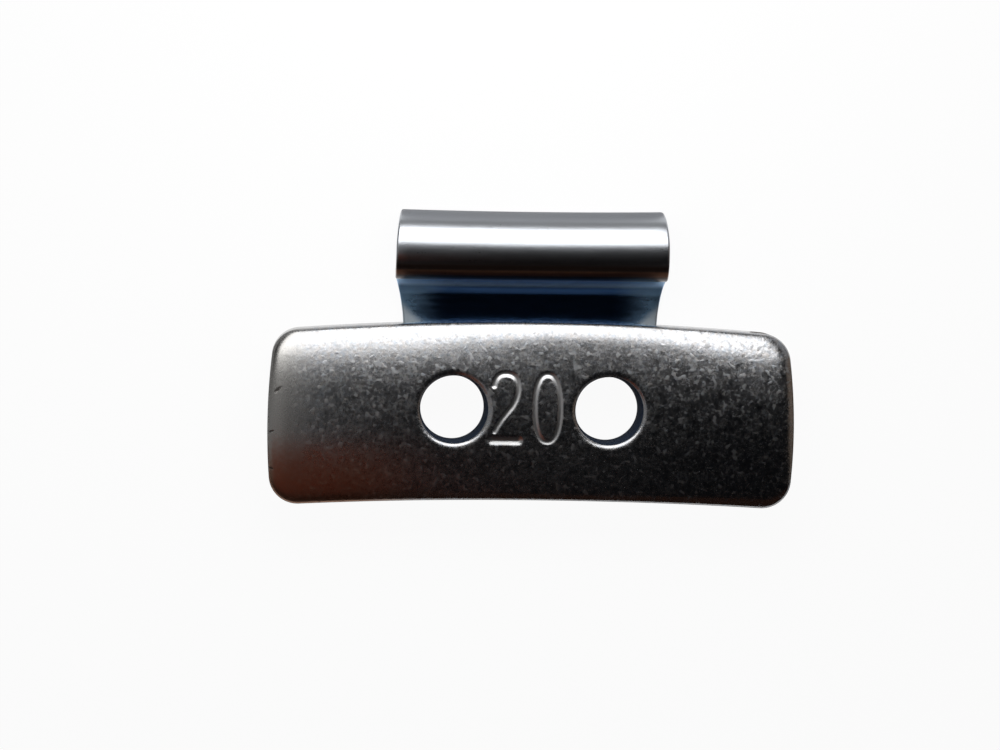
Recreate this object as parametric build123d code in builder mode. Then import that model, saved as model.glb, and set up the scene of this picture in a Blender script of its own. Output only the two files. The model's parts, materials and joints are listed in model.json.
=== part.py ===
import os

from build123d import *

# Clip-on wheel balance weight, in millimetres, lying on its flat back.
# X runs along the rim, +Y points out to the rim's lip, +Z comes out of the front face.

# Body
body_length = 40.0          # end to end
body_height = 13.55         # bottom edge to top edge, halfway along
body_thickness = 5.1        # back to the crown of the front face
top_arc_radius = 225.0      # arch of the top edge
bottom_arc_radius = 340.0   # flatter arch of the bottom edge
end_arc_radius = 50.0       # bow of each end
end_bow_drop = 1.5          # each end bows out furthest this far below the line of the holes
corner_radius = 2.2         # corners of the outline
crown_rise = 0.9            # how much higher the front face is in the middle than at the long edges
front_edge_radius = 1.6     # rounding all round the front face
back_edge_chamfer = 0.35    # all round the back

# Holes, and the collars behind them that hold the clip
hole_rise = 0.12            # line of the holes above half height
hole_radius = 2.45          # narrowest, through the collar
hole_mouth_radius = 2.68    # at the front face
hole_rim_chamfer = 0.25     # bevel of the mouth's rim
collar_wall = 0.5
collar_land = 0.6           # straight wall of the hole in front of the collar
swage_flare = 0.25          # how far the collar's end is spread over the clip

# Clip strip
strip_thickness = 0.9
neck_width = 19.4           # from the body's top edge down
hook_flare = 0.68           # how far the hook is wider than the neck on each side
neck_blend_radius = 3.0     # softens the change from neck to hook
tail_reach = 4.6            # tail's end below the line of the holes
tail_corner_radius = 1.2
tail_edge_margin = 0.55     # strip left between each hole's countersink and the tail's side
hook_inner_radius = 1.77    # round the rim's lip
hook_gap = 3.1              # between the body's top edge and the hook
web_bend_radius = 1.2       # inside of the bend that turns the strip forward
hook_pinch = 10.0           # degrees that the hook closes past a half turn
leg_length = 1.2            # straight stretch at the free end
hook_corner_radius = 0.7    # hook's top corners, seen from the front

# Fit of the tail in its pocket, and of each collar in the tail
pocket_clearance = 0.05

# Places worked out from the sizes
half_length = body_length / 2
half_height = body_height / 2
top_y = half_height - hole_rise
bottom_y = -half_height - hole_rise
end_centre_x = end_arc_radius - half_length
crown_radius = (half_height**2 + crown_rise**2) / (2 * crown_rise)
collar_radius = hole_radius + collar_wall
land_height = strip_thickness + collar_land
rim_height = body_thickness - hole_rim_chamfer
hole_x = neck_width / 2 - tail_edge_margin - swage_flare - pocket_clearance - collar_radius
hole_spacing = 2 * hole_x
strip_middle = strip_thickness / 2
web_line_radius = web_bend_radius + strip_middle
hook_line_radius = hook_inner_radius + strip_middle
hook_outer_radius = hook_inner_radius + strip_thickness
hook_half_width = neck_width / 2 + hook_flare
hook_underside = top_y + hook_gap
hook_centre_y = hook_underside + hook_outer_radius
hook_top = hook_centre_y + hook_outer_radius
hook_front = strip_middle + web_line_radius + hook_outer_radius
web_start_y = hook_centre_y - hook_line_radius - web_line_radius

os.makedirs("parts", exist_ok=True)

# Form of a hole: straight through the collar, then widening to a bevelled mouth and on past the front face
with BuildPart() as hole_form:
    with BuildSketch(Plane.XZ):
        with BuildLine():
            Polyline(
                (0, 0),
                (hole_radius, 0),
                (hole_radius, land_height),
                (hole_mouth_radius, rim_height),
                (hole_mouth_radius + 2 * hole_rim_chamfer, rim_height + 2 * hole_rim_chamfer),
                (0, rim_height + 2 * hole_rim_chamfer),
                close=True,
            )
        make_face()
    revolve(axis=Axis.Z)

# Weight body: outline between four arcs, crowned front and rounded edges
with BuildPart() as weight_body:
    with BuildSketch() as outline:
        with Locations((0, top_y - top_arc_radius)):
            Circle(top_arc_radius)
        with Locations((0, bottom_y - bottom_arc_radius)):
            Circle(bottom_arc_radius, mode=Mode.SUBTRACT)
        for end_centre in PolarLocations(end_centre_x, 2):
            with Locations(Pos(Y=-end_bow_drop) * end_centre):
                Circle(end_arc_radius, mode=Mode.INTERSECT)
        fillet(outline.vertices(), corner_radius)
    extrude(amount=body_thickness)
    with BuildSketch(Plane.YZ):
        with Locations((0, body_thickness - crown_radius)):
            Circle(crown_radius)
    extrude(amount=body_length, both=True, mode=Mode.INTERSECT)
    fillet(weight_body.faces().sort_by(Axis.Z)[-1].edges(), front_edge_radius)
    chamfer(weight_body.faces().sort_by(Axis.Z)[0].edges(), back_edge_chamfer)

    # Pocket in the back for the clip's tail, open at the top edge, with a collar left round each hole
    with BuildSketch():
        with Locations((0, -tail_reach - pocket_clearance)):
            pocket = Rectangle(
                neck_width + 2 * pocket_clearance,
                tail_reach + body_height,
                align=(Align.CENTER, Align.MIN),
            )
        fillet(pocket.vertices().group_by(Axis.Y)[0], tail_corner_radius + pocket_clearance)
        with GridLocations(hole_spacing, 0, 2, 1):
            Circle(collar_radius, mode=Mode.SUBTRACT)
    extrude(amount=strip_thickness, mode=Mode.SUBTRACT)
    with GridLocations(hole_spacing, 0, 2, 1):
        Cone(
            collar_radius + swage_flare,
            collar_radius,
            swage_flare,
            align=(Align.CENTER, Align.CENTER, Align.MIN),
        )

    # Holes through the body and its collars
    with GridLocations(hole_spacing, 0, 2, 1):
        add(hole_form.part, mode=Mode.SUBTRACT)

weight_body.part.label = "weight_body"
export_step(weight_body.part, "parts/weight_body.step")

# Rim clip: one strip, from the flat tail through the web's bend and round the hook to the free end
with BuildPart() as rim_clip:
    with BuildSketch(Plane.YZ):
        with BuildLine():
            tail = Line((-tail_reach, strip_middle), (web_start_y, strip_middle))
            web = JernArc(tail @ 1, tail % 1, web_line_radius, 90)
            hook = JernArc(web @ 1, web % 1, hook_line_radius, -180 - hook_pinch)
            Line(hook @ 1, hook @ 1 + (hook % 1) * leg_length)
        trace(line_width=strip_thickness)
    extrude(amount=hook_half_width, both=True)

    # The strip's outline seen from the front: narrow tail and neck, wider hook, rounded corners
    with BuildSketch():
        with BuildLine():
            Polyline(
                (0, -tail_reach),
                (neck_width / 2, -tail_reach),
                (neck_width / 2, top_y),
                (hook_half_width, hook_underside),
                (hook_half_width, hook_top),
                (0, hook_top),
            )
            mirror(about=Plane.YZ)
        strip_outline = make_face()
        corner_rows = strip_outline.vertices().group_by(Axis.Y)
        fillet(corner_rows[0], tail_corner_radius)
        fillet(corner_rows[1] + corner_rows[2], neck_blend_radius)
        fillet(corner_rows[-1], hook_corner_radius)
    extrude(amount=hook_front + strip_thickness, both=True, mode=Mode.INTERSECT)

    # Holes in the tail round the body's collars, countersunk at the back for their spread ends
    with BuildSketch():
        with GridLocations(hole_spacing, 0, 2, 1):
            Circle(collar_radius + pocket_clearance)
    extrude(amount=strip_thickness, mode=Mode.SUBTRACT)
    back_rims = rim_clip.faces().sort_by(Axis.Z)[0].inner_wires()
    chamfer([edge for wire in back_rims for edge in wire.edges()], swage_flare)

rim_clip.part.label = "rim_clip"
export_step(rim_clip.part, "parts/rim_clip.step")
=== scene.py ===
import json
import math

import bmesh
import bpy
import numpy as np
from mathutils import Matrix, Vector
from mathutils.geometry import delaunay_2d_cdt


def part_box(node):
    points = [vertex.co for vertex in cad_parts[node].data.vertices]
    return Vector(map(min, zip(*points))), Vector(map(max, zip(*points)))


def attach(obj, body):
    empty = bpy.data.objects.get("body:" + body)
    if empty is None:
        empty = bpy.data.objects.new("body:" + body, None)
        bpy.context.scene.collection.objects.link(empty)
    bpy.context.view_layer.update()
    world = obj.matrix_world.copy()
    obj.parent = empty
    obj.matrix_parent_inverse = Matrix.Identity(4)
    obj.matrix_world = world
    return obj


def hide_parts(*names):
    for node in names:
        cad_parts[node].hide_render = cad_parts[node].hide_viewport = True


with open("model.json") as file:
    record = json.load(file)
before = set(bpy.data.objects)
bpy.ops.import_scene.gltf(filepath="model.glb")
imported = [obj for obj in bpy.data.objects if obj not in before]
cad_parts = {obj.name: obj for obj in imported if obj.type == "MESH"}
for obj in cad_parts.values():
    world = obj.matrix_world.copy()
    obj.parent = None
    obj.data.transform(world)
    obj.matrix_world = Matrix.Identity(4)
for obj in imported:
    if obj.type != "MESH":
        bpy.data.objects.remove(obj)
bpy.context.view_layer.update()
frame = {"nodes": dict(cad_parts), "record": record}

mm = 0.001
quarterTurn = math.pi / 2
fullTurn = 2 * math.pi
sides = (-1, 1)                                 # left and right
mounts = {mount["name"]: mount for mount in frame["record"]["mounts"]}
bodyLow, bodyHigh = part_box("weight_body")
clipLow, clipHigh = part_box("rim_clip")
holeX = mounts["hole_right"]["pos_m"][0]
holeRadius = mounts["hole_right"]["dims"]["r_mm"] * mm
hookCentre = Vector(mounts["rim_hook"]["pos_m"])
hookInner = mounts["rim_hook"]["dims"]["r_mm"] * mm
stripThickness = clipHigh.y - hookCentre.y - hookInner
print("frame loaded:", sorted(frame["nodes"]))


# Node trees, for shaders and geometry alike

class Link:                                     # a socket that does sums
    def __init__(self, graph, socket):
        self.graph = graph
        self.socket = socket

    def sum(self, operation, first, second):
        return self.graph.node("ShaderNodeMath", {"operation": operation}, {0: first, 1: second})

    def __add__(self, other):
        return self.sum("ADD", self, other)

    def __radd__(self, other):
        return self.sum("ADD", other, self)

    def __sub__(self, other):
        return self.sum("SUBTRACT", self, other)

    def __rsub__(self, other):
        return self.sum("SUBTRACT", other, self)

    def __mul__(self, other):
        return self.sum("MULTIPLY", self, other)

    def __rmul__(self, other):
        return self.sum("MULTIPLY", other, self)

    def __truediv__(self, other):
        return self.sum("DIVIDE", self, other)

    def __abs__(self):
        return self.sum("ABSOLUTE", self, 0)

    def power(self, exponent):
        return self.sum("POWER", self, exponent)


class NodeGraph:                                # one node tree being wired
    def __init__(self, tree):
        self.tree = tree

    def node(self, kind, settings=None, inputs=None, out=0):
        made = self.tree.nodes.new(kind)
        for name, value in (settings or {}).items():
            setattr(made, name, value)
        self.feed(made, inputs or {})
        return Link(self, made.outputs[out]) if made.outputs else None

    def feed(self, made, inputs):               # links or plain values for a node's sockets
        for name, value in inputs.items():
            socket = made.inputs[name]
            if isinstance(value, Link):
                self.tree.links.new(value.socket, socket)
            else:
                socket.default_value = value

    def beside(self, link, out):                # another output of the same node
        return Link(self, link.socket.node.outputs[out])

    def parts(self, vector):                    # a vector's x, y and z
        x = self.node("ShaderNodeSeparateXYZ", None, {0: vector})
        return x, self.beside(x, 1), self.beside(x, 2)

    def smooth(self, value, fromMin, fromMax, toMin=0.0, toMax=1.0):
        return self.node("ShaderNodeMapRange", {"interpolation_type": "SMOOTHSTEP"},
                         {0: value, 1: fromMin, 2: fromMax, 3: toMin, 4: toMax})


# Mesh helpers

meshing = {
    "mergeReach": 2e-7,                         # points closer than this become one
    "insideOnly": 1,                            # a plan's triangles stay inside its outline
    "planTolerance": 1e-9,
}


def meshObject(name, work):
    mesh = bpy.data.meshes.new(name)
    work.to_mesh(mesh)
    work.free()
    made = bpy.data.objects.new(name, mesh)
    bpy.context.scene.collection.objects.link(made)
    return made


def skin(work, rings):                          # quads between closed rings of the same count
    rows = [[work.verts.new(point) for point in ring] for ring in rings]
    for low, high in zip(rows, rows[1:]):
        for i in range(len(low)):
            j = (i + 1) % len(low)
            work.faces.new((low[i], low[j], high[j], high[i]))


def fillPlan(work, outer, holes, heightAt, loose=()):   # a flat or domed face with round holes in it
    loops = [outer] + [points for points, _, _ in holes]
    plan = [Vector(point[:2]) for loop in loops for point in loop]
    edges = []
    start = 0
    for loop in loops:
        count = len(loop)
        edges += [(start + i, start + (i + 1) % count) for i in range(count)]
        start += count
    plan += [Vector(point) for point in loose]
    manner = (meshing["insideOnly"], meshing["planTolerance"])
    points, _, triangles, _, _, _ = delaunay_2d_cdt(plan, edges, [], *manner)
    verts = [work.verts.new((point.x, point.y, heightAt(point.x, point.y))) for point in points]
    for triangle in triangles:
        middle = sum((points[i] for i in triangle), Vector((0, 0))) / len(triangle)
        if all((middle - centre).length > radius for _, centre, radius in holes):
            work.faces.new([verts[i] for i in triangle])


def closeUp(work):
    bmesh.ops.remove_doubles(work, verts=work.verts, dist=meshing["mergeReach"])
    bmesh.ops.recalc_face_normals(work, faces=work.faces)


def circle(centre, radius, height, count):
    turns = [fullTurn * i / count for i in range(count)]
    return [(centre[0] + radius * math.cos(a), centre[1] + radius * math.sin(a), height) for a in turns]


def rounding(steps, power):                     # along a rounded edge one share grows, the other shrinks
    for i in range(steps + 1):
        turn = quarterTurn * i / steps
        yield 1 - max(math.cos(turn), 0) ** (2 / power), 1 - math.sin(turn) ** (2 / power)


def applied(made, name):                        # the object's evaluated shape becomes its plain mesh
    view = bpy.context.evaluated_depsgraph_get()
    mesh = bpy.data.meshes.new_from_object(made.evaluated_get(view))
    made.modifiers.clear()
    made.data = mesh
    made.name = name
    mesh.name = name


# Geometry Nodes helpers

def newTree(name, sockets):
    tree = bpy.data.node_groups.new(name, "GeometryNodeTree")
    tree.interface.new_socket("Geometry", in_out="INPUT", socket_type="NodeSocketGeometry")
    for label, kind in sockets.items():
        tree.interface.new_socket(label, in_out="INPUT", socket_type="NodeSocket" + kind)
    tree.interface.new_socket("Geometry", in_out="OUTPUT", socket_type="NodeSocketGeometry")
    graph = NodeGraph(tree)
    given = graph.node("NodeGroupInput").socket.node
    return tree, graph, {socket.name: Link(graph, socket) for socket in given.outputs if socket.name}


def shapeOf(graph, helper):                     # a helper object's shape
    return graph.node("GeometryNodeObjectInfo", {"transform_space": "RELATIVE"}, {"Object": helper},
                      out="Geometry")


def keepValue(graph, shape, name, value):       # a number stored at each point
    return graph.node("GeometryNodeStoreNamedAttribute", {"data_type": "FLOAT", "domain": "POINT"},
                      {"Geometry": shape, "Name": name, "Value": value})


def keptValue(graph, name):                     # and read again
    return graph.node("GeometryNodeInputNamedAttribute", {"data_type": "FLOAT"}, {"Name": name})


def finishTree(graph, shape, finish):           # leaves no instances, because the export drops them
    whole = graph.node("GeometryNodeRealizeInstances", None, {"Geometry": shape})
    finished = graph.node("GeometryNodeSetMaterial", None, {"Geometry": whole, "Material": finish})
    graph.node("NodeGroupOutput", None, {"Geometry": finished})


def addTree(made, tree, values):                # a modifier with the tree's named inputs set
    modifier = made.modifiers.new(tree.name, "NODES")
    modifier.node_group = tree
    for item in tree.interface.items_tree:
        if item.item_type == "SOCKET" and item.in_out == "INPUT" and item.name in values:
            modifier[item.identifier] = values[item.name]


# Materials

noiseMean = 0.5


def newMaterial(name):
    material = bpy.data.materials.new(name)
    material.use_nodes = True
    graph = NodeGraph(material.node_tree)
    shader = material.node_tree.nodes["Principled BSDF"]
    return material, graph, shader


def millimetres(graph):                         # object coordinates in millimetres, whole and in parts
    place = graph.node("ShaderNodeTexCoord", out="Object")
    place = graph.node("ShaderNodeVectorMath", {"operation": "SCALE"}, {0: place, "Scale": 1 / mm})
    return place, *graph.parts(place)


def noise(graph, place, scale, detail, rough):
    return graph.node("ShaderNodeTexNoise", None,
                      {"Vector": place, "Scale": scale, "Detail": detail, "Roughness": rough})


def blend(graph, factor, first, second):        # two colours by a factor, in the Mix node's colour sockets
    return graph.node("ShaderNodeMix", {"data_type": "RGBA"}, {0: factor, 6: first, 7: second}, out=2)


def plate(graph, shader, colour, roughness, height):    # metal, with its texture as bump
    normal = graph.node("ShaderNodeBump", None, {"Strength": 1.0, "Distance": 1.0, "Height": height})
    graph.feed(shader, {"Base Color": colour, "Roughness": roughness, "Normal": normal, "Metallic": 1.0})


def shareSurface(graph, factor, shader, other):         # two shaders by a factor
    both = graph.node("ShaderNodeMixShader", None, {0: factor, 1: Link(graph, shader.outputs[0]), 2: other})
    graph.feed(graph.tree.nodes["Material Output"], {"Surface": both})


tumbledLook = {                                 # places and reaches in mm, depths in metres
    "zinc": (0.44, 0.44, 0.45, 1),
    "dulled": (0.375, 0.378, 0.385, 1),         # where the plate has gone flat grey
    "straw": (0.47, 0.39, 0.31, 1),             # faint tints in small patches
    "steel": (0.28, 0.37, 0.48, 1),
    "reflectedBrown": (0.34, 0.200, 0.140, 1),           # painted reflection of reddish-brown surroundings, over the lower left
    "wearAndSideLight": (0.41, 0.40, 0.385, 1),           # bare at the left end
    "pressed": (0.56, 0.56, 0.56, 1),           # lighter grey in the number's grooves
    "nick": (0.05, 0.04, 0.035, 1),
    "bore": (0.022, 0.034, 0.060, 1),           # thin dark plate inside the holes
    "tintShare": 0.22,                          # how much of a colour shows at most
    "brownReflectionShare": 0.95,
    "nickShare": 0.8,
    "grain": (3.4, 1.0, 0.5),                   # noises: how many to the mm, octaves and their weight
    "specks": (2.7, 0.0, 0.5),
    "dents": (1.3, 2.0, 0.5),
    "cloud": (0.35, 3.0, 0.6),
    "tint": (3.3, 2.0, 0.5),
    "mottle": (4.0, 5.0, 0.74),
    "speckBand": (0.62, 0.80),                  # bands of a noise, from none to all
    "dullBand": (0.40, 0.60),
    "dullMix": (0.4, 0.6),                      # cloud and mottle in what is dulled
    "strawBand": (0.52, 0.70),
    "steelBand": (0.48, 0.30),
    "grooveBand": (0.15, 0.6),                  # from a groove's edge at 0 to its middle at 1
    "brownReflectionX": (-6, -14),
    "brownReflectionY": (-1.5, -5.5),
    "brownReflectionWander": (3, 2),
    "wornX": (-16.0, -19.2),                    # the left end is rubbed even
    "brightX": (4, 16),                         # and the right is brighter, more uneven plate
    "roughness": 0.25,
    "wornRougher": 0.02,
    "brownReflectionRougher": 0.09,
    "brightSmoother": 0.03,
    "grooveRougher": 0.10,
    "mottleSwing": 0.42,                        # how much the roughness wanders in fine patches
    "dentSwing": 0.15,
    "speckSwing": 0.10,
    "brightSwing": 0.40,
    "grainDepth": 0.0044 * mm,
    "dentDepth": 0.0048 * mm,
    "speckDepth": 0.0040 * mm,                  # sparse small domes
    "wornEven": 0.7,                            # how much of the texture is gone there
    "brownReflectionEven": 0.25,
    "grooveEven": 0.7,
    "nicks": ((-19.25, 1.35, 0.17, 0.7),        # x, y, half width, slant
              (-19.7, -1.8, 0.09, 0.2),
              (-19.7, -4.6, 0.09, -0.5)),
    "nickDepth": 0.02 * mm,
    "nickSlim": 0.35,                           # width over length
    "nickRagged": 0.15,
    "nickCore": 0.3,                            # share of the half width at full depth
    "boreReach": 2.64,                          # from a hole's axis
    "boreBlend": 0.08,
    "boreRoughness": 0.9,
    "boreSpecular": 0.05,
}


def nickMasks(graph, x, y, grain):              # small ragged ovals
    look = tumbledLook
    for nickX, nickY, reach, slant in look["nicks"]:
        along = (x - nickX) * math.cos(slant) + (y - nickY) * math.sin(slant)
        across = (y - nickY) * math.cos(slant) - (x - nickX) * math.sin(slant)
        away = ((look["nickSlim"] * along).power(2) + across.power(2)).power(0.5)
        away = away + look["nickRagged"] * (grain - noiseMean)
        yield graph.smooth(away, reach, look["nickCore"] * reach)


def tumbledZinc():
    look = tumbledLook
    material, graph, shader = newMaterial("tumbledZinc")
    place, x, y, _ = millimetres(graph)
    grain = noise(graph, place, *look["grain"])
    specks = graph.smooth(noise(graph, place, *look["specks"]), *look["speckBand"])
    dents = noise(graph, place, *look["dents"])
    cloud = noise(graph, place, *look["cloud"])
    tint = noise(graph, place, *look["tint"])
    mottle = noise(graph, place, *look["mottle"])
    pressed = graph.node("ShaderNodeAttribute", {"attribute_name": "pressed"}, out="Fac")
    groove = graph.smooth(pressed, *look["grooveBand"])
    worn = graph.smooth(x, *look["wornX"])
    bright = graph.smooth(x, *look["brightX"])
    # painted reflection: reddish brown over the lower left, its edge wandering with the noise
    wanderX, wanderY = look["brownReflectionWander"]
    brownReflection = graph.smooth(x + wanderX * (cloud - noiseMean), *look["brownReflectionX"])
    brownReflection = brownReflection * graph.smooth(y + wanderY * (tint - noiseMean), *look["brownReflectionY"])

    cloudPart, mottlePart = look["dullMix"]
    dull = graph.smooth(cloudPart * cloud + mottlePart * mottle, *look["dullBand"])
    colour = blend(graph, dull, look["zinc"], look["dulled"])
    for name in ("straw", "steel"):
        patches = graph.smooth(tint, *look[name + "Band"], 0, look["tintShare"])
        colour = blend(graph, patches, colour, look[name])
    colour = blend(graph, groove, colour, look["pressed"])
    colour = blend(graph, worn, colour, look["wearAndSideLight"])
    colour = blend(graph, look["brownReflectionShare"] * brownReflection, colour, look["reflectedBrown"])

    roughness = look["roughness"] + look["wornRougher"] * worn + look["brownReflectionRougher"] * brownReflection
    roughness = roughness - look["brightSmoother"] * bright + look["grooveRougher"] * groove
    uneven = look["mottleSwing"] * (mottle - noiseMean) + look["dentSwing"] * (dents - noiseMean)
    uneven = (uneven + look["speckSwing"] * specks) * (1 + look["brightSwing"] * bright)
    roughness = roughness + uneven * (1 - look["wornEven"] * worn) * (1 - groove)

    height = look["grainDepth"] * grain + look["dentDepth"] * dents + look["speckDepth"] * specks
    height = height * (1 - look["wornEven"] * worn) * (1 - look["brownReflectionEven"] * brownReflection)
    height = height * (1 - look["grooveEven"] * groove)
    for nick in nickMasks(graph, x, y, grain):
        height = height - look["nickDepth"] * nick
        colour = blend(graph, look["nickShare"] * nick, colour, look["nick"])
    plate(graph, shader, colour, roughness, height)

    fromAxis = ((abs(x) - holeX / mm).power(2) + y * y).power(0.5)
    bore = graph.smooth(fromAxis, look["boreReach"], look["boreReach"] - look["boreBlend"])
    lining = graph.node("ShaderNodeBsdfPrincipled", None, {
        "Base Color": look["bore"], "Roughness": look["boreRoughness"],
        "Specular IOR Level": look["boreSpecular"]})
    shareSurface(graph, bore, shader, lining)
    return material


stripLook = {                                   # bands in mm, from where a tint starts to where it is full
    "zinc": (0.47, 0.49, 0.52, 1),
    "navy": (0.03, 0.07, 0.16, 1),              # blue of passivate inside the bend, darkened further as painted shade under the hook
    "blue": (0.16, 0.27, 0.40, 1),              # painted light: lighter towards the web's ends, where light comes in from the sides
    "pale": (0.36, 0.41, 0.45, 1),              # painted reflection of side light, pale in the web's bottom corners beside the body
    "blueReflection": (0.48, 0.68, 0.90, 1),              # painted reflection: a pale blue band close under the hook
    "flankDarkReflection": (0.040, 0.026, 0.022, 1),          # painted dark reflection on the hook's near side
    "brownGlint": (0.125, 0.058, 0.034, 1),           # painted brown glint, a thin line just above the bend
    "bendStart": (5.8, 6.2),                    # y
    "bendEnd": (9.85, 9.75),
    "bendTop": (3.0, 2.0),                      # z
    "flankStart": (9.75, 9.85),                 # y
    "flankEnd": (12.2, 10.8),
    "flankBottom": (1.6, 2.2),                  # z
    "brownGlintStart": (10.05, 10.2),                 # y
    "brownGlintEnd": (10.62, 10.45),
    "blueReflectionStart": (9.15, 9.5),
    "mattStart": (8.5, 8.9),
    "sideLitEndsOut": (6.2, 9.6),                      # x, to either side
    "sideLitEndsWander": 1.5,
    "sideLightOut": (7.9, 9.0),
    "sideLightFoot": 6.6,                             # y where the pale band of painted side light starts, before it narrows
    "sideLightSlope": 1.1,
    "sideLightRagged": 0.6,
    "streak": (2.2, 3.0, 0.6),                  # noises: how many to the mm, octaves and their weight
    "streakStretch": (0.25, 1.6, 1.6),
    "fleck": (9.0, 2.0, 0.5),
    "roughness": 0.29,
    "bendRoughness": 0.14,
    "sideLightRougher": 0.10,
    "mattRougher": 0.34,
    "streakSwing": 0.06,
    "fleckSwing": 0.04,
    "streakDepth": 0.004 * mm,
    "fleckDepth": 0.00032 * mm,
}


def rolledZinc():
    look = stripLook
    material, graph, shader = newMaterial("rolledZinc")
    place, x, y, z = millimetres(graph)
    stretched = graph.node("ShaderNodeVectorMath", {"operation": "MULTIPLY"},
                           {0: place, 1: look["streakStretch"]})
    streak = noise(graph, stretched, *look["streak"])
    fleck = noise(graph, place, *look["fleck"])

    inBend = graph.smooth(y, *look["bendStart"]) * graph.smooth(y, *look["bendEnd"])
    inBend = inBend * graph.smooth(z, *look["bendTop"])
    # painted dark reflection on the hook's near side
    onFlank = graph.smooth(y, *look["flankEnd"]) * graph.smooth(y, *look["flankStart"])
    onFlank = onFlank * graph.smooth(z, *look["flankBottom"])
    # painted brown glint along the hook's near side
    atBrownGlint = graph.smooth(y, *look["brownGlintEnd"]) * graph.smooth(y, *look["brownGlintStart"])
    # painted shade and light: dark in the middle of the web under the hook, lighter towards its ends
    sideLitEnds = graph.smooth(abs(x) + look["sideLitEndsWander"] * (streak - noiseMean), *look["sideLitEndsOut"])
    # painted side light: pale corners of the web beside the body, a little rougher there
    aside = abs(x) - look["sideLightSlope"] * (y - look["sideLightFoot"])
    wearAndSideLight = graph.smooth(aside + look["sideLightRagged"] * (fleck - noiseMean), *look["sideLightOut"])

    inner = blend(graph, sideLitEnds, look["navy"], look["blue"])
    inner = blend(graph, wearAndSideLight, inner, look["pale"])
    # painted reflection, pale blue close under the hook
    inner = blend(graph, graph.smooth(y, *look["blueReflectionStart"]), inner, look["blueReflection"])
    flankDarkReflection = blend(graph, atBrownGlint, look["flankDarkReflection"], look["brownGlint"])
    colour = blend(graph, onFlank, look["zinc"], flankDarkReflection)
    colour = blend(graph, inBend, colour, inner)

    roughness = look["roughness"] + look["streakSwing"] * (streak - noiseMean)
    roughness = roughness + look["fleckSwing"] * (fleck - noiseMean)
    smoother = (look["roughness"] - look["bendRoughness"]) * (1 - sideLitEnds) - look["sideLightRougher"] * wearAndSideLight
    smoother = smoother - look["mattRougher"] * graph.smooth(y, *look["mattStart"])
    roughness = roughness - smoother * inBend
    height = look["streakDepth"] * streak + look["fleckDepth"] * fleck
    plate(graph, shader, colour, roughness, height)
    return material


# Weight body: arched slab with a crowned front, two holes, and the clip's pocket behind

weight = {
    "height": 13.55 * mm,                       # bottom edge to top edge, halfway along
    "topArc": 225 * mm,                         # arch of the top edge
    "bottomArc": 340 * mm,                      # and of the bottom edge
    "endArc": 50 * mm,
    "endDrop": 1.5 * mm,                        # the ends bow out furthest below the line of the holes
    "corner": 2.2 * mm,
    "crownRise": 0.9 * mm,
    "crownArch": 270 * mm,                      # the crown's ridge follows the arch
    "crownFlat": 0.22,                          # flatter round the number, where it was struck
    "flatCentre": 4 * mm,
    "flatReach": 9 * mm,
    "shoulder": 2.0 * mm,                       # how far in the rounding of the front edge reaches
    "shoulderDrop": 0.55 * mm,
    "shoulderPower": 3.6,                       # gentle slope that turns down sharply at the edge
    "backRound": 0.35 * mm,
    "mouth": 2.56 * mm,                         # hole radius at the front
    "rim": 0.52 * mm,                           # rolled rim of the holes, and its drop
    "rimDrop": 0.26 * mm,
    "rimPower": 1.7,
    "land": 1.5 * mm,                           # straight stretch of the holes, from the back
    "collar": 2.95 * mm,                        # radius of the collars that hold the clip
    "flare": 0.25 * mm,                         # how far their ends are spread
    "pocketWidth": 19.5 * mm,
    "pocketReach": 4.65 * mm,
    "pocketCorner": 1.25 * mm,
    "edgeSteps": 36,                            # faces along half of a long edge, and along other curves
    "cornerSteps": 18,
    "endSteps": 16,
    "backSteps": 5,
    "shoulderSteps": 24,
    "rimSteps": 14,
    "holeSteps": 144,
    "pocketSteps": 8,
    "coarse": 0.55 * mm,                        # spacing of the points on the face
    "middling": 0.22 * mm,                      # closer round the number
    "middlingReach": 1.1 * mm,
    "fine": 0.055 * mm,                         # and closest in its strokes
    "fineReach": 0.5 * mm,
    "numberArea": (5 * mm, 4.5 * mm),           # half width and half height that hold the number
    "faceShare": 0.62,                          # of the body's height, enough to cover the face
    "rowShare": 0.866,                          # between rows of points
    "keepOff": 0.4,                             # share of the spacing left free beside edges
    "sharp": 38,                                # degrees past which an edge is left sharp
}
cutters = {
    "start": -1 * mm,                           # height below the back where a cutter begins
    "past": 2 * mm,                             # how far it stands clear of what it cuts
}
halfLength = bodyHigh.x
topEdge = bodyHigh.y
lowEdge = topEdge - weight["height"]
thickness = bodyHigh.z
crownRadius = (weight["height"] ** 2 / 4 + weight["crownRise"] ** 2) / (2 * weight["crownRise"])


def meet(centreA, radiusA, centreB, radiusB, near):     # where two circles cross, nearest to a point
    apart = centreB - centreA
    along = (radiusA ** 2 - radiusB ** 2 + apart.length_squared) / (2 * apart.length)
    aside = math.sqrt(radiusA ** 2 - along ** 2)
    way = apart.normalized()
    foot = centreA + way * along
    across = Vector((-way.y, way.x)) * aside
    return min(foot + across, foot - across, key=lambda point: (point - near).length)


def angleOf(vector):
    return math.atan2(vector.y, vector.x)


def arcRow(centre, radius, start, end, steps, side=1):  # points and outward normals along an arc
    row = []
    for i in range(steps):
        turn = start + (end - start) * i / steps
        way = Vector((math.cos(turn), math.sin(turn)))
        row.append((centre + way * radius, way * side))
    return row


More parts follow.
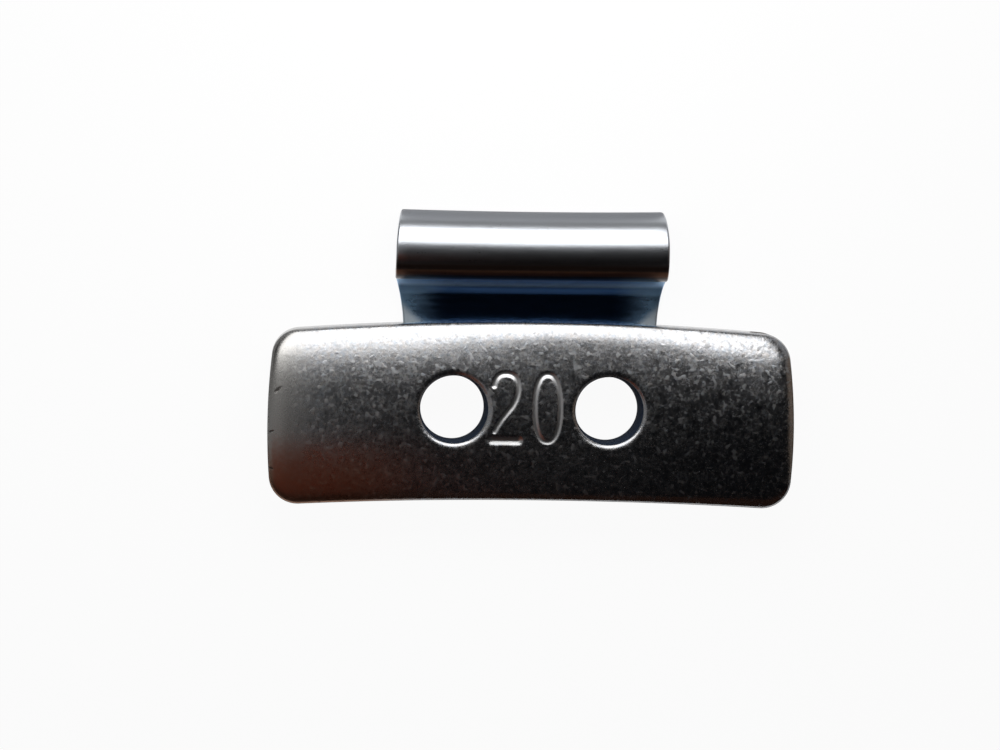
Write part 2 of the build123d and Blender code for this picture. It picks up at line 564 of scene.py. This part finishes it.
def bodyOutline():                              # points and outward normals, anticlockwise from below
    corner = weight["corner"]
    topRadius = weight["topArc"]
    lowRadius = weight["bottomArc"]
    endRadius = weight["endArc"]
    topCentre = Vector((0, topEdge - topRadius))
    lowCentre = Vector((0, lowEdge - lowRadius))
    rightEnd = Vector((halfLength - endRadius, -weight["endDrop"]))
    endInner = endRadius - corner
    topRight = meet(topCentre, topRadius - corner, rightEnd, endInner, Vector((halfLength, topEdge)))
    lowRight = meet(lowCentre, lowRadius + corner, rightEnd, endInner, Vector((halfLength, lowEdge)))
    endTop = angleOf(topRight - rightEnd)
    endLow = angleOf(lowRight - rightEnd)
    edgeTop = angleOf(topRight - topCentre)
    edgeLow = angleOf(lowRight - lowCentre)
    half = arcRow(lowCentre, lowRadius, quarterTurn, edgeLow, weight["edgeSteps"], -1)
    half += arcRow(lowRight, corner, edgeLow - math.pi, endLow, weight["cornerSteps"])
    half += arcRow(rightEnd, endRadius, endLow, endTop, weight["endSteps"])
    half += arcRow(topRight, corner, endTop, edgeTop, weight["cornerSteps"])
    half += arcRow(topCentre, topRadius, edgeTop, quarterTurn, weight["edgeSteps"])
    half.append((Vector((0, topEdge)), Vector((0, 1))))
    mirrored = [(Vector((-point.x, point.y)), Vector((-way.x, way.y))) for point, way in half[-2:0:-1]]
    return half + mirrored


def crown(x, y):                                # height of the front face
    ridge = -x * x / (2 * weight["crownArch"])
    struck = math.exp(-((x - weight["flatCentre"]) / weight["flatReach"]) ** 2)
    across = (y - ridge) * (1 - weight["crownFlat"] * struck)
    return thickness - crownRadius + math.sqrt(crownRadius ** 2 - across ** 2)


def ringAt(outline, inset, heightAt):
    ring = [point - normal * inset for point, normal in outline]
    return [(point.x, point.y, heightAt(point.x, point.y)) for point in ring]


def edgeRings(outline):                         # round the back edge, up the wall and over the shoulder
    rings = []
    back = weight["backRound"]
    for i in range(weight["backSteps"] + 1):
        turn = quarterTurn * i / weight["backSteps"]
        height = back * (1 - math.cos(turn))
        rings.append(ringAt(outline, back * (1 - math.sin(turn)), lambda x, y: height))
    for inward, downward in rounding(weight["shoulderSteps"], weight["shoulderPower"]):
        drop = weight["shoulderDrop"] * downward
        rings.append(ringAt(outline, weight["shoulder"] * inward, lambda x, y: crown(x, y) - drop))
    return rings


def holeTube(centre):                           # from the face over the rolled rim, and through to the back
    steps = weight["holeSteps"]
    tube = []
    for downward, outward in rounding(weight["rimSteps"], weight["rimPower"]):
        reach = weight["mouth"] + weight["rim"] * outward
        drop = weight["rimDrop"] * downward
        tube.append([(x, y, crown(x, y) - drop) for x, y, _ in circle(centre, reach, 0, steps)])
    tube.append(circle(centre, holeRadius, weight["land"], steps))
    tube.append(circle(centre, holeRadius, 0, steps))
    return tube


# The number on the face: strokes as smooth curves, pressed in by a node tree

number = {                                      # points of the strokes in mm
    "two": [(-2.84, 1.84), (-2.74, 2.60), (-1.95, 2.88), (-1.04, 2.52), (-0.96, 1.25), (-1.42, 0.20),
            (-2.32, -0.70), (-2.80, -1.62)],
    "foot": [(-3.02, -2.32), (-1.00, -2.32)],
    "nought": {"centre": (1.20, 0.16), "half": (0.97, 2.56), "square": 0.86, "points": 48},
    "halfWidth": 0.29 * mm,
    "depth": 0.105 * mm,
    "footHalfWidth": 0.44 * mm,
    "footDepth": 0.17 * mm,
    "floorRound": 0.06 * mm,                    # rounding at the bottom of the groove
    "lip": 0.12,                                # softness of its edges
    "curveOrder": 4,
    "curveSteps": 12,
    "frontShare": 0.85,                         # of the thickness, above which points are pressed
}


def digitRows():
    oval = number["nought"]
    rows = [([Vector(point) for point in number["two"]], False)]
    ring = []
    for i in range(oval["points"]):
        turn = fullTurn * i / oval["points"]
        way = (math.cos(turn), math.sin(turn))
        shape = [math.copysign(abs(part) ** oval["square"], part) for part in way]
        ring.append(Vector((oval["centre"][0] + oval["half"][0] * shape[0],
                            oval["centre"][1] + oval["half"][1] * shape[1])))
    rows.append((ring, True))
    return rows


def strokes(name, rows):
    curve = bpy.data.curves.new(name, "CURVE")
    curve.dimensions = "3D"
    curve.resolution_u = number["curveSteps"]
    for row, closed in rows:
        spline = curve.splines.new("NURBS")
        spline.points.add(len(row) - 1)
        for point, place in zip(spline.points, row):
            point.co = (place.x * mm, place.y * mm, thickness, 1)
        spline.order_u = min(number["curveOrder"], len(row))
        spline.use_endpoint_u = not closed
        spline.use_cyclic_u = closed
    made = bpy.data.objects.new(name, curve)
    bpy.context.scene.collection.objects.link(made)
    return made


def stampTree():
    tree, graph, given = newTree("stampNumber", {
        "Strokes": "Object", "Half Width": "Float", "Depth": "Float", "Floor Round": "Float",
        "Lip": "Float", "Face Height": "Float", "Finish": "Material"})
    lines = graph.node("GeometryNodeCurveToMesh", None, {"Curve": shapeOf(graph, given["Strokes"])})
    x, y, z = graph.parts(graph.node("GeometryNodeInputPosition"))
    onFace = graph.node("ShaderNodeCombineXYZ", None, {0: x, 1: y, 2: given["Face Height"]})
    distance = graph.node("GeometryNodeProximity", {"target_element": "EDGES"},
                          {"Geometry": lines, "Sample Position": onFace}, out="Distance")
    rounded = (distance * distance + given["Floor Round"] * given["Floor Round"]).power(0.5)
    wall = graph.node("ShaderNodeMapRange", None,
                      {0: rounded, 1: 0.0, 2: given["Half Width"], 3: 1.0, 4: 0.0})
    press = given["Depth"] * wall * wall / (wall + given["Lip"])
    front = graph.node("ShaderNodeMath", {"operation": "GREATER_THAN"},
                       {0: z, 1: given["Face Height"] * number["frontShare"]})
    offset = graph.node("ShaderNodeCombineXYZ", None, {2: (0 - press) * front})
    deepest = graph.node("ShaderNodeMath", {"operation": "MAXIMUM"},
                         {0: keptValue(graph, "pressed"), 1: wall * front})
    marked = keepValue(graph, given["Geometry"], "pressed", deepest)
    pressed = graph.node("GeometryNodeSetPosition", None, {"Geometry": marked, "Offset": offset})
    finishTree(graph, pressed, given["Finish"])
    return tree


def facePoints(curves):                         # loose points for the front face, closest at the number
    path = []
    for curve in curves:
        lines = bpy.data.meshes.new_from_object(curve)
        path += [vertex.co[:2] for vertex in lines.vertices]
        bpy.data.meshes.remove(lines)
    path = np.array(path)
    wholeFace = (halfLength, weight["faceShare"] * weight["height"])
    zones = ((weight["fine"], 0.0, weight["fineReach"], weight["numberArea"]),
             (weight["middling"], weight["fineReach"], weight["middlingReach"], weight["numberArea"]),
             (weight["coarse"], weight["middlingReach"], math.inf, wholeFace))
    points = []
    for spacing, near, far, (wide, high) in zones:
        for row, y in enumerate(np.arange(-high, high, spacing * weight["rowShare"])):
            for x in np.arange(-wide, wide, spacing) + spacing / 2 * (row % 2):
                away = np.hypot(path[:, 0] - x, path[:, 1] - y).min()
                if near <= away < far:
                    points.append((x, y, spacing))
    return points


def insideFace(point, outline):                 # clear of the rounded edge and of the hole rims
    x, y, spacing = point
    place = Vector((x, y))
    margin = weight["keepOff"] * spacing
    depth = min((edge - place).dot(normal) for edge, normal in outline)
    rimReach = weight["mouth"] + weight["rim"]
    clear = min((place - Vector((side * holeX, 0))).length for side in sides) - rimReach
    return depth > weight["shoulder"] + margin and clear > margin


def pocketCutter():                             # the tail's room, with a spread collar left at each hole
    half = weight["pocketWidth"] / 2
    low = -weight["pocketReach"]
    corner = weight["pocketCorner"]
    collar = weight["collar"]
    flare = weight["flare"]
    steps = weight["holeSteps"]
    high = topEdge + cutters["past"]
    under = cutters["start"]
    plan = [Vector((half, high)), Vector((-half, high))]
    for side, start in zip(sides, (2 * quarterTurn, 3 * quarterTurn)):
        end = start + quarterTurn
        bend = Vector((side * (half - corner), low + corner))
        plan += [point for point, _ in arcRow(bend, corner, start, end, weight["pocketSteps"])]
        plan.append(bend + corner * Vector((math.cos(end), math.sin(end))))
    centres = [(side * holeX, 0) for side in sides]
    work = bmesh.new()
    for height, radius in ((under, collar + flare), (stripThickness, collar)):
        holes = [(circle(centre, radius, height, steps), Vector(centre), radius) for centre in centres]
        fillPlan(work, [(p.x, p.y, height) for p in plan], holes, lambda x, y: height)
    skin(work, [[(p.x, p.y, height) for p in plan] for height in (under, stripThickness)])
    stack = ((under, flare), (0, flare), (flare, 0), (stripThickness, 0))
    for centre in centres:
        skin(work, [circle(centre, collar + grown, height, steps) for height, grown in stack])
    closeUp(work)
    return meshObject("pocketCutter", work)


def bodyBlank(outline, curves):                 # the slab with its holes, before the pocket is cut
    work = bmesh.new()
    rings = edgeRings(outline)
    skin(work, rings)
    faceHoles = []
    backHoles = []
    for side in sides:
        centre = Vector((side * holeX, 0))
        tube = holeTube(centre)
        skin(work, tube)
        faceHoles.append((tube[0], centre, weight["mouth"] + weight["rim"]))
        backHoles.append((tube[-1], centre, holeRadius))
    loose = [point[:2] for point in facePoints(curves) if insideFace(point, outline)]
    fillPlan(work, rings[-1], faceHoles, crown, loose)
    fillPlan(work, rings[0], backHoles, lambda x, y: 0.0)
    closeUp(work)
    return meshObject("weightBodyBlank", work)


def buildBody(material):
    digits = strokes("digitStrokes", digitRows())
    foot = strokes("footStroke", [([Vector(point) for point in number["foot"]], False)])
    made = bodyBlank(bodyOutline(), (digits, foot))
    cutter = pocketCutter()
    cut = made.modifiers.new("pocket", "BOOLEAN")
    cut.operation = "DIFFERENCE"
    cut.solver = "EXACT"
    cut.object = cutter
    applied(made, "weightBodyBlank")
    stamp = stampTree()
    for curve, halfWidth, depth in ((digits, number["halfWidth"], number["depth"]),
                                    (foot, number["footHalfWidth"], number["footDepth"])):
        addTree(made, stamp, {
            "Strokes": curve, "Half Width": halfWidth, "Depth": depth, "Floor Round": number["floorRound"],
            "Lip": number["lip"], "Face Height": thickness, "Finish": material})
    applied(made, "stampedWeight")
    for helper in (cutter, digits, foot):
        bpy.data.objects.remove(helper)
    return made


# Rim clip: strip swept along its bent path, widened at the hook, with two holes in the tail

clip = {
    "neckWidth": 19.4 * mm,
    "tailReach": -clipLow.y,
    "webRadius": 1.2 * mm + stripThickness / 2,         # of the bend, at the middle of the strip
    "pinch": math.radians(10),                  # how far the hook closes past a half turn
    "leg": 1.2 * mm,                            # straight stretch at the free end
    "edgeRound": 0.16 * mm,
    "bow": 0.1 * mm,                            # the hook's ends stand higher than its middle
    "flareStart": -0.5 * mm,                    # the strip widens here, seen from the body's top edge
    "flareEnd": 5.0 * mm,
    "tipLength": 5.5 * mm,                      # and narrows a little to its free end
    "tipScale": 0.95,
    "clearance": 0.05 * mm,                     # between the tail's holes and the collars
    "tailRows": (-4.0, 0.8, 0.3),               # mm: first row of faces, step, and gap before the bend
    "webSteps": 16,
    "hookSteps": 48,
    "legSteps": 4,
    "acrossSteps": 28,
    "roundSteps": 4,
    "sharp": 50,                                # degrees past which an edge is left sharp
}


def clipPath():
    middle = stripThickness / 2
    hookRadius = hookInner + middle
    bend = clip["webRadius"]
    webCentre = Vector((hookCentre.y - hookRadius - bend, middle + bend))
    path = [Vector((-clip["tailReach"], middle))]
    first, step, gap = clip["tailRows"]
    path += [Vector((y * mm, middle)) for y in np.arange(first, webCentre.x / mm - gap, step)]
    for i in range(clip["webSteps"] + 1):
        turn = -quarterTurn + quarterTurn * i / clip["webSteps"]
        path.append(webCentre + bend * Vector((math.cos(turn), math.sin(turn))))
    hook = Vector((hookCentre.y, hookCentre.z))
    sweep = math.pi + clip["pinch"]
    for i in range(1, clip["hookSteps"] + 1):
        turn = math.pi - sweep * i / clip["hookSteps"]
        path.append(hook + hookRadius * Vector((math.cos(turn), math.sin(turn))))
    way = (path[-1] - path[-2]).normalized()
    path += [path[-1] + way * clip["leg"] * i / clip["legSteps"] for i in range(1, clip["legSteps"] + 1)]
    return path


def polyline(name, points, closed=False):       # a mesh of edges alone
    work = bmesh.new()
    verts = [work.verts.new(point) for point in points]
    for first, second in zip(verts, verts[1:]):
        work.edges.new((first, second))
    if closed:
        work.edges.new((verts[-1], verts[0]))
    return meshObject(name, work)


def stripSection():                             # across the strip: flat faces and rounded edges
    edge = clip["edgeRound"]
    wide = clipHigh.x - edge
    deep = stripThickness / 2 - edge
    steps = clip["acrossSteps"]
    points = []
    for quarter, (x, y) in enumerate(((wide, deep), (-wide, deep), (-wide, -deep), (wide, -deep))):
        for i in range(clip["roundSteps"] + 1):
            turn = quarterTurn * (quarter + i / clip["roundSteps"])
            points.append(Vector((x + edge * math.cos(turn), y + edge * math.sin(turn), 0)))
        if x * y > 0:                           # a flat face starts at this corner
            points += [Vector((x - 2 * x * i / steps, points[-1].y, 0)) for i in range(1, steps)]
    return polyline("stripSection", points, True)


def tailCutter():                               # a collar's hole, countersunk at the back
    wide = weight["collar"] + clip["clearance"]
    flare = weight["flare"]
    stack = ((cutters["start"], wide + flare), (0, wide + flare), (flare, wide), (cutters["past"], wide))
    rings = [circle((0, 0), radius, height, weight["holeSteps"]) for height, radius in stack]
    work = bmesh.new()
    skin(work, rings)
    for ring in (rings[0], rings[-1]):
        work.faces.new([work.verts.new(point) for point in ring])
    closeUp(work)
    return meshObject("tailCutter", work)


def clipTree():
    tree, graph, given = newTree("bentStrip", {
        "Section": "Object", "Cutter": "Object", "Hole Spacing": "Float", "Neck Ratio": "Float",
        "Flare Start": "Float", "Flare End": "Float", "Tip Start": "Float", "Tip End": "Float",
        "Tip Ratio": "Float", "Bow": "Float", "Half Width": "Float", "Finish": "Material"})
    path = graph.node("GeometryNodeMeshToCurve", None, {"Mesh": given["Geometry"]})
    path = graph.node("GeometryNodeSetCurveNormal", {"mode": "FREE"}, {"Curve": path, "Normal": (1, 0, 0)})
    path = keepValue(graph, path, "along", graph.node("GeometryNodeSplineParameter", out="Length"))
    section = graph.node("GeometryNodeMeshToCurve", None, {"Mesh": shapeOf(graph, given["Section"])})
    strip = graph.node("GeometryNodeCurveToMesh", None,
                       {"Curve": path, "Profile Curve": section, "Fill Caps": True})

    along = keptValue(graph, "along")
    x, y, z = graph.parts(graph.node("GeometryNodeInputPosition"))
    flared = graph.smooth(along, given["Flare Start"], given["Flare End"])
    neck = given["Neck Ratio"] + (1 - given["Neck Ratio"]) * flared
    tip = graph.smooth(along, given["Tip Start"], given["Tip End"], 1.0, given["Tip Ratio"])
    share = x / given["Half Width"]
    lowered = y - given["Bow"] * (1 - share * share) * flared
    moved = graph.node("ShaderNodeCombineXYZ", None, {0: x * neck * tip, 1: lowered, 2: z})
    strip = graph.node("GeometryNodeSetPosition", None, {"Geometry": strip, "Position": moved})

    side = given["Hole Spacing"] * 0.5
    left = graph.node("ShaderNodeCombineXYZ", None, {0: 0 - side})
    right = graph.node("ShaderNodeCombineXYZ", None, {0: side})
    spots = graph.node("GeometryNodeMeshLine", {"mode": "END_POINTS"},
                       {"Count": len(sides), "Start Location": left, "Offset": right})
    cutter = shapeOf(graph, given["Cutter"])
    both = graph.node("GeometryNodeInstanceOnPoints", None, {"Points": spots, "Instance": cutter})
    both = graph.node("GeometryNodeRealizeInstances", None, {"Geometry": both})
    strip = graph.node("GeometryNodeMeshBoolean", {"operation": "DIFFERENCE", "solver": "EXACT"},
                       {"Mesh 1": strip, "Mesh 2": both})
    finishTree(graph, strip, given["Finish"])
    return tree


def buildClip(material):
    path = clipPath()
    length = sum((b - a).length for a, b in zip(path, path[1:]))
    made = polyline("bentClip", [(0, point.x, point.y) for point in path])
    section = stripSection()
    cutter = tailCutter()
    atBody = clip["tailReach"] + topEdge        # length along the strip at the body's top edge
    addTree(made, clipTree(), {
        "Section": section, "Cutter": cutter, "Hole Spacing": 2 * holeX,
        "Neck Ratio": clip["neckWidth"] / (2 * clipHigh.x),
        "Flare Start": atBody + clip["flareStart"], "Flare End": atBody + clip["flareEnd"],
        "Tip Start": length - clip["tipLength"], "Tip End": length, "Tip Ratio": clip["tipScale"],
        "Bow": clip["bow"], "Half Width": clipHigh.x, "Finish": material})
    applied(made, "bentClip")
    for helper in (section, cutter):
        bpy.data.objects.remove(helper)
    return made


def settle(made, node, sharp):            # a finished piece takes its node's place
    mesh = made.data
    work = bmesh.new()
    work.from_mesh(mesh)
    closeUp(work)
    work.to_mesh(mesh)
    work.free()
    mesh.shade_smooth()
    mesh.set_sharp_from_angle(angle=math.radians(sharp))
    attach(made, "root")
    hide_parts(node)
    print("made", made.name, "with", len(mesh.polygons), "faces")


weightPiece = buildBody(tumbledZinc())
settle(weightPiece, "weight_body", weight["sharp"])
clipPiece = buildClip(rolledZinc())
settle(clipPiece, "rim_clip", clip["sharp"])


# Studio: pale floor, a wide soft light above the hook's side, a weak one at the left, cards to reflect

studio = {
    "floorSize": 3.0,
    "floorHeight": -0.02 * mm,
    "floorColour": (0.93, 0.93, 0.93, 1),
    "floorRoughness": 0.9,
    "floorGlow": 0.95,                          # share of the floor that the camera sees as plain white
    "skyHigh": (0.004, 0.0042, 0.005, 1),
    "skyLow": (0.26, 0.26, 0.26, 1),
    "skyBand": (0.28, 0.55),                    # rise of the view, from low to high sky
    "keyPlace": (-0.004, 0.053, 0.042),
    "keySize": (0.064, 0.072),
    "keyLevel": 3.0,
    "fillPlace": (-0.065, -0.005, 0.050),
    "fillSize": (0.094, 0.060),
    "fillLevel": 0.26,
    "cardHeight": -0.01 * mm,                   # of the cards that lie on the floor
    "cardSplit": -4 * mm,                       # y where the ones in front end
    "frontTone": (0.042, 0.019, 0.013, 1),      # dark card that hangs in front
    "frontCard": 5 * mm,                        # how far it is off the front edge
    "frontLow": 3.6 * mm,
    "frontHigh": 11 * mm,
    "floorTone": (0.15, 0.115, 0.095, 1),       # on the floor in front and at the right
    "floorInset": 3 * mm,                       # how far that reaches in under the right end
    "sideTone": (0.32, 0.25, 0.20, 1),          # paler card that stands off the right end
    "sideCard": 22 * mm,
    "sideHeight": 45 * mm,
    "sideGlow": 0.09,
    "warmTone": (0.11, 0.028, 0.014, 1),        # reddish card that hangs over the lower left
    "warmLow": (-0.046, -0.050),
    "warmHigh": (-0.012, -0.0135),
    "warmHeight": 0.045,
    "warmGlow": 1.0,
    "greyTone": (0.42, 0.42, 0.43, 1),          # behind the hook, at the left and beyond the pale card
    "greyReach": 120 * mm,
    "greyMargin": 0.5 * mm,                     # wider than the hook at each side
}


def flat(left, right, near, far, height):       # corners of a card that lies flat
    return (left, near, height), (right, near, height), (right, far, height), (left, far, height)


def upright(start, end, low, high):             # corners of a card that stands between two spots
    return (*start, low), (*end, low), (*end, high), (*start, high)


def sheets(name, faces, material):
    work = bmesh.new()
    for face in faces:
        work.faces.new([work.verts.new(point) for point in face])
    made = meshObject(name, work)
    made.data.materials.append(material)
    return made


def layFloor():
    material, graph, shader = newMaterial("paleFloor")
    graph.feed(shader, {"Base Color": studio["floorColour"], "Roughness": studio["floorRoughness"],
                        "Specular IOR Level": 0.0})
    seen = graph.node("ShaderNodeLightPath", out="Is Camera Ray")
    mirrored = graph.beside(seen, "Is Glossy Ray") + graph.beside(seen, "Is Transmission Ray")
    share = studio["floorGlow"] * (seen + mirrored)
    glow = graph.node("ShaderNodeEmission", None, {"Color": (1, 1, 1, 1), "Strength": 1.0})
    shareSurface(graph, share, shader, glow)
    half = studio["floorSize"] / 2
    floor = sheets("floor", [flat(-half, half, -half, half, studio["floorHeight"])], material)


def cards(name, tone, faces, glow=0.0):         # plain cards that only the metal's reflections see
    material, graph, shader = newMaterial(name)
    graph.feed(shader, {"Base Color": tone, "Emission Color": tone, "Emission Strength": glow,
                        "Roughness": 1.0, "Specular IOR Level": 0.0})
    made = sheets(name, faces, material)
    made.visible_camera = False
    made.visible_diffuse = False
    made.visible_shadow = False
    made.visible_transmission = False


def standCards():                               # to shape what the metal shows
    front = bodyLow.y - studio["frontCard"]
    right = bodyHigh.x + studio["sideCard"]
    left = bodyLow.x - 2 * studio["sideCard"]
    back = clipHigh.y
    top = studio["sideHeight"]
    under = studio["cardHeight"]
    split = studio["cardSplit"]
    inner = bodyHigh.x - studio["floorInset"]
    hung = upright((left, front), (right, front), studio["frontLow"], studio["frontHigh"])
    cards("frontCard", studio["frontTone"], [hung])
    cards("floorCards", studio["floorTone"], [
        flat(left, right, front, split, under),
        flat(inner, right, split, topEdge, under)])
    cards("sideCard", studio["sideTone"], [upright((right, front), (right, back), under, top)],
          studio["sideGlow"])
    far = back + studio["greyReach"]
    wide = clipHigh.x + studio["greyMargin"]
    away = bodyLow.x - studio["greyReach"]
    cards("greyCards", studio["greyTone"], [
        flat(-wide, wide, back, far, under),
        upright((right, back), (right, far), under, top),
        flat(away, bodyLow.x, split, far, under)])
    lowX, lowY = studio["warmLow"]
    highX, highY = studio["warmHigh"]
    cards("warmCard", studio["warmTone"], [flat(lowX, highX, lowY, highY, studio["warmHeight"])],
          studio["warmGlow"])


def softLight(name, place, size, level):        # facing down; level is the brightness of its surface
    lamp = bpy.data.lights.new(name, "AREA")
    lamp.shape = "RECTANGLE"
    lamp.size, lamp.size_y = size
    lamp.energy = level * math.pi * size[0] * size[1]
    made = bpy.data.objects.new(name, lamp)
    made.location = place
    made.visible_camera = False
    bpy.context.scene.collection.objects.link(made)


def paintSky():
    world = bpy.data.worlds.new("studioSky")
    world.use_nodes = True
    graph = NodeGraph(world.node_tree)
    _, _, rise = graph.parts(graph.node("ShaderNodeTexCoord", out="Generated"))
    colour = blend(graph, graph.smooth(rise, *studio["skyBand"]), studio["skyLow"], studio["skyHigh"])
    graph.feed(graph.tree.nodes["Background"], {"Color": colour})
    bpy.context.scene.world = world


layFloor()
standCards()
softLight("keySoftbox", studio["keyPlace"], studio["keySize"], studio["keyLevel"])
softLight("leftFill", studio["fillPlace"], studio["fillSize"], studio["fillLevel"])
paintSky()
print("studio set")


# Camera at the photo's angle: nearly straight down, a little from the left and from the hook's side

shot = {
    "distance": 400 * mm,
    "lean": math.radians(2.5),                  # to the left, and as much to the hook's side
    "aim": (-2.325 * mm, 2.54 * mm, 2.5 * mm),
    "pixelsPerMm": 13.12,
    "roll": math.radians(0.74),
    "width": 1000,                              # pixels
    "sensor": 36,
    "clipStart": 0.01,
}


def setCamera():
    data = bpy.data.cameras.new("photoCamera")
    data.sensor_width = shot["sensor"]
    data.lens = shot["pixelsPerMm"] / mm * shot["sensor"] * shot["distance"] / shot["width"]
    data.clip_start = shot["clipStart"]
    camera = bpy.data.objects.new("photoCamera", data)
    lean = Vector((-math.sin(shot["lean"]), math.sin(shot["lean"]), 0))
    lean.z = math.sqrt(1 - lean.length_squared)
    right = Vector((0, 1, 0)).cross(lean).normalized()
    up = lean.cross(right)
    turned = Matrix((right, up, lean)).transposed() @ Matrix.Rotation(shot["roll"], 3, "Z")
    spot = Vector(shot["aim"]) + lean * shot["distance"]
    camera.matrix_world = Matrix.Translation(spot) @ turned.to_4x4()
    bpy.context.scene.collection.objects.link(camera)
    bpy.context.scene.camera = camera


setCamera()
bpy.context.scene.view_settings.view_transform = "Standard"
